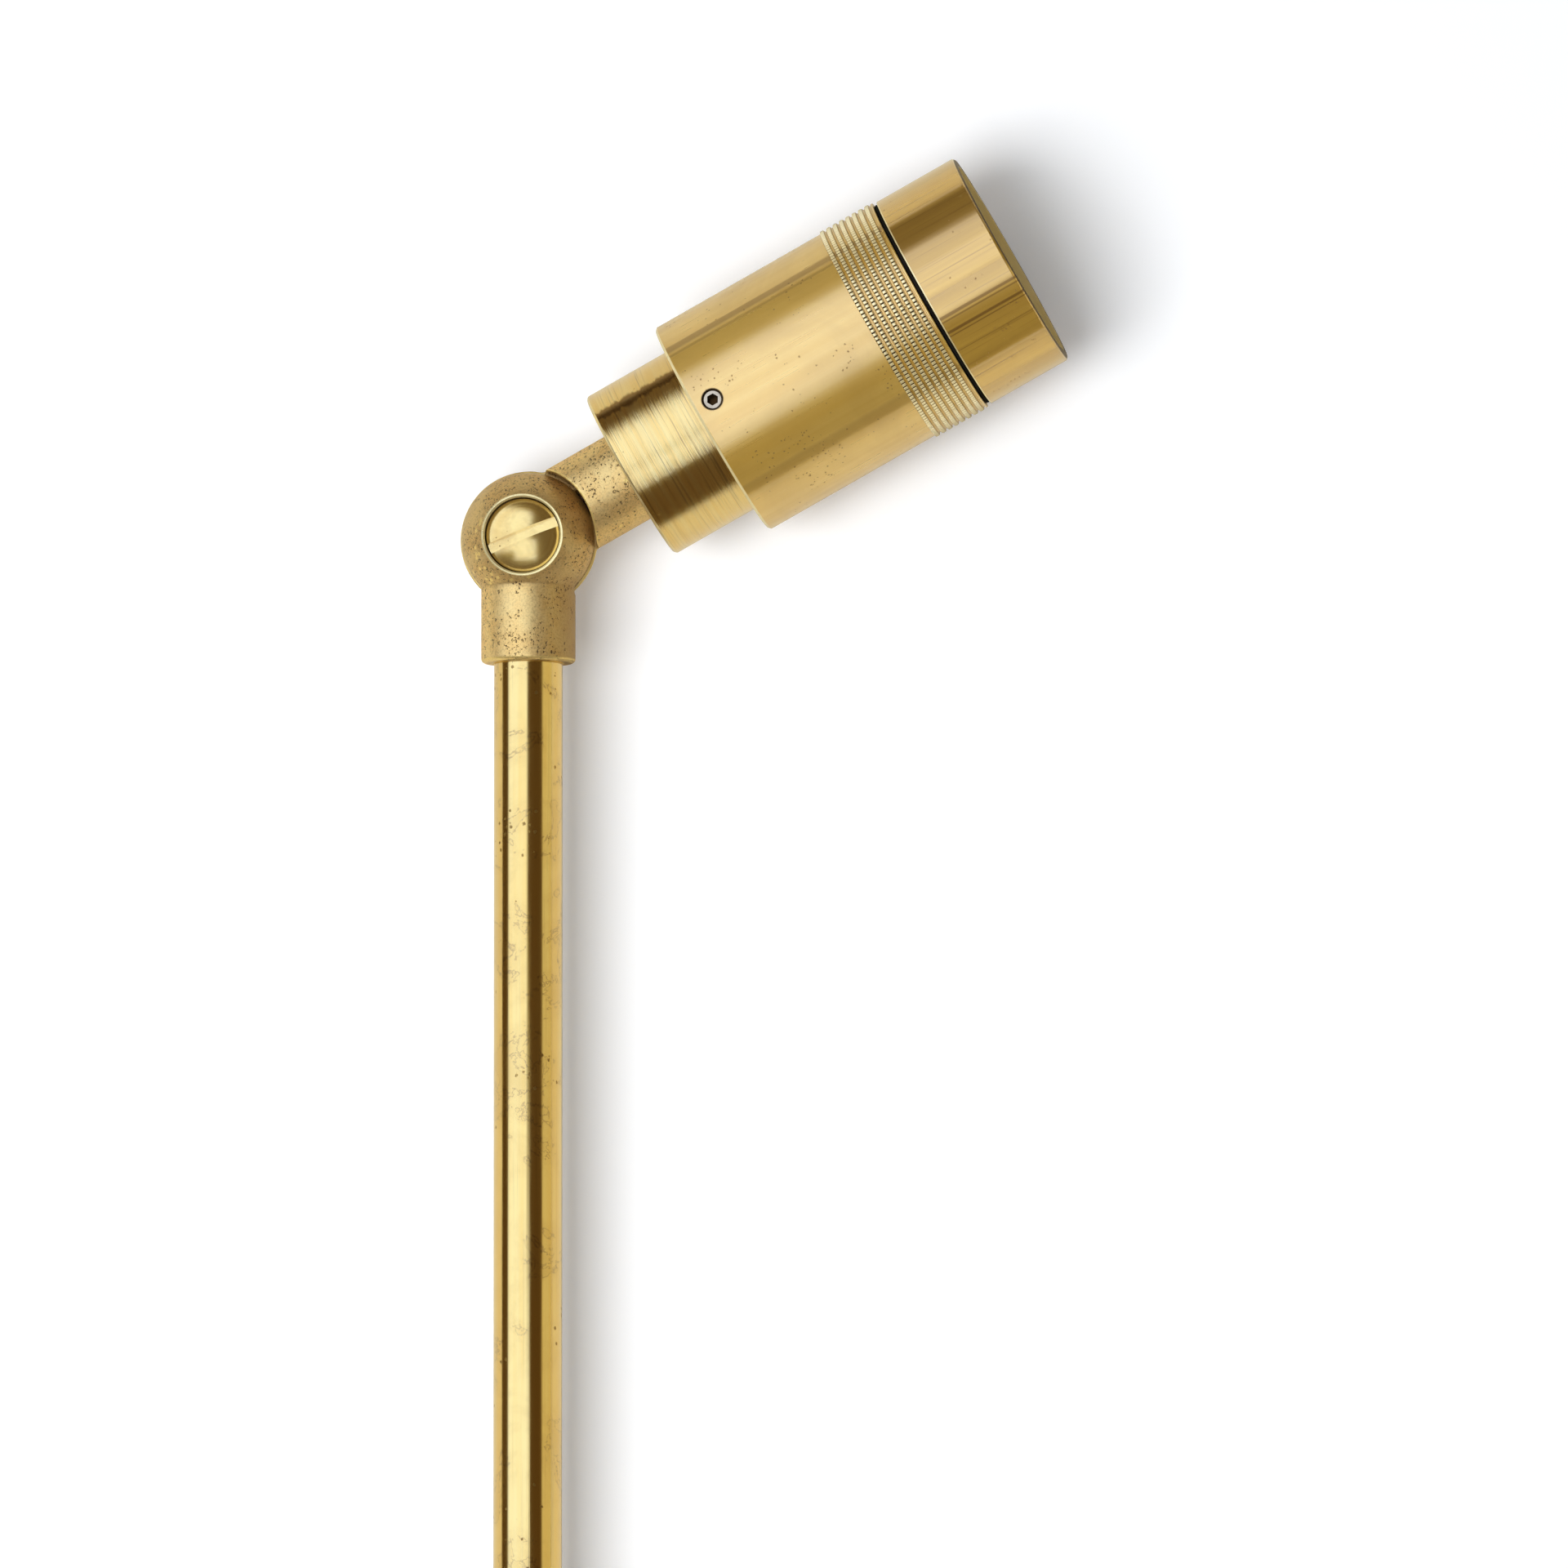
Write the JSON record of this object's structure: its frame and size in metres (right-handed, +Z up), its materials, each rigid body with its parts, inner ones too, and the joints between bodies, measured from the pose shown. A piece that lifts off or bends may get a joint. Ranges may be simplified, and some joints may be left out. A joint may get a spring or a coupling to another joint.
{
  "type": "garden spike spotlight",
  "caption": "Brass garden spotlight: a cylindrical head with a knurled grip band on a slim pole with a ground spike, joined by a ball-shaped tilting knuckle.",
  "frame": {"origin": "on the pole's axis at ground level, where the round shank of the spike meets its shoulder", "axes": "+Z up along the pole; +X towards the side that the head leans to; the knuckle's hinge axis runs along Y and the slotted screw's head faces -Y"},
  "size_m": [0.1423, 0.055, 0.5518],
  "materials": {
    "cast_brass": "cast, satin, pitted",
    "turned_brass": "turned, satin",
    "brushed_brass": "turned, brushed round",
    "polished_brass": "polished, lightly tarnished",
    "tube_brass": "polished, lightly tarnished",
    "inner_brass": "sheet and bar, plain",
    "stainless": "plain stainless",
    "black_rubber": "moulded",
    "silicone": "moulded",
    "fibre": "pressed fibre",
    "insulation_brown": "silicone insulated wire",
    "ceramic": "unglazed",
    "clear_glass": "toughened, clear",
    "reflector": "coated faceted glass",
    "filament": "tungsten"
  },
  "bodies": {
    "pole": {"ground_spike": "turned_brass", "spike_pin": "stainless", "pole_tube": "tube_brass", "cable_grommet": "black_rubber", "pole_leads": "insulation_brown", "lower_knuckle": "cast_brass", "knuckle_friction_washer": "fibre"},
    "screw_seat": {"knuckle_spring_washer": "stainless"},
    "screw": {"knuckle_screw": "polished_brass"},
    "head": {"knuckle_arm": "cast_brass", "knuckle_nut": "inner_brass", "neck_seal_ring": "black_rubber", "neck_housing": "brushed_brass", "sleeve_grub_screws": "stainless", "sleeve_o_ring": "black_rubber", "main_sleeve": "turned_brass", "arm_lock_nut": "inner_brass", "lampholder_bracket": "inner_brass", "lampholder": "ceramic", "lampholder_contacts": "inner_brass", "lampholder_screws": "stainless", "head_leads": "insulation_brown", "lamp_reflector": "reflector", "lamp_base": "ceramic", "lamp_pins": "stainless", "lamp_capsule": "clear_glass", "lamp_filament": "filament", "lamp_cover_glass": "clear_glass", "lamp_cushion_ring": "silicone"},
    "bezel_seat": {"bezel_o_ring": "black_rubber"},
    "bezel": {"front_bezel": "polished_brass", "glass_gasket": "silicone", "front_glass": "clear_glass", "glass_retaining_ring": "inner_brass"}
  },
  "joints": [
    {"name": "knuckle_tilt", "type": "hinge", "parent": "pole", "child": "head", "pos_m": [0, 0, 0.32], "axis": [0, -1, 0], "range_deg": [-38, 150]},
    {"name": "screw_advance", "type": "slide", "parent": "pole", "child": "screw_seat", "axis": [0, -1, 0], "range_m": [0, 0.000626]},
    {"name": "screw_turn", "type": "hinge", "parent": "screw_seat", "child": "screw", "pos_m": [0, 0, 0.32], "axis": [0, -1, 0], "range_deg": [0, 180]},
    {"name": "bezel_advance", "type": "slide", "parent": "head", "child": "bezel_seat", "axis": [0.8729, 0, 0.4879], "range_m": [0, 0.00901]},
    {"name": "bezel_turn", "type": "hinge", "parent": "bezel_seat", "child": "bezel", "pos_m": [0.10421, 0, 0.3795], "axis": [0.8729, 0, 0.4879], "range_deg": [0, 2160]}
  ],
  "couplings": [
    {"joint": "screw_advance", "follows": "screw_turn", "m_per_rad": 0.00019894},
    {"joint": "bezel_advance", "follows": "bezel_turn", "m_per_rad": 0.00023873}
  ]
}
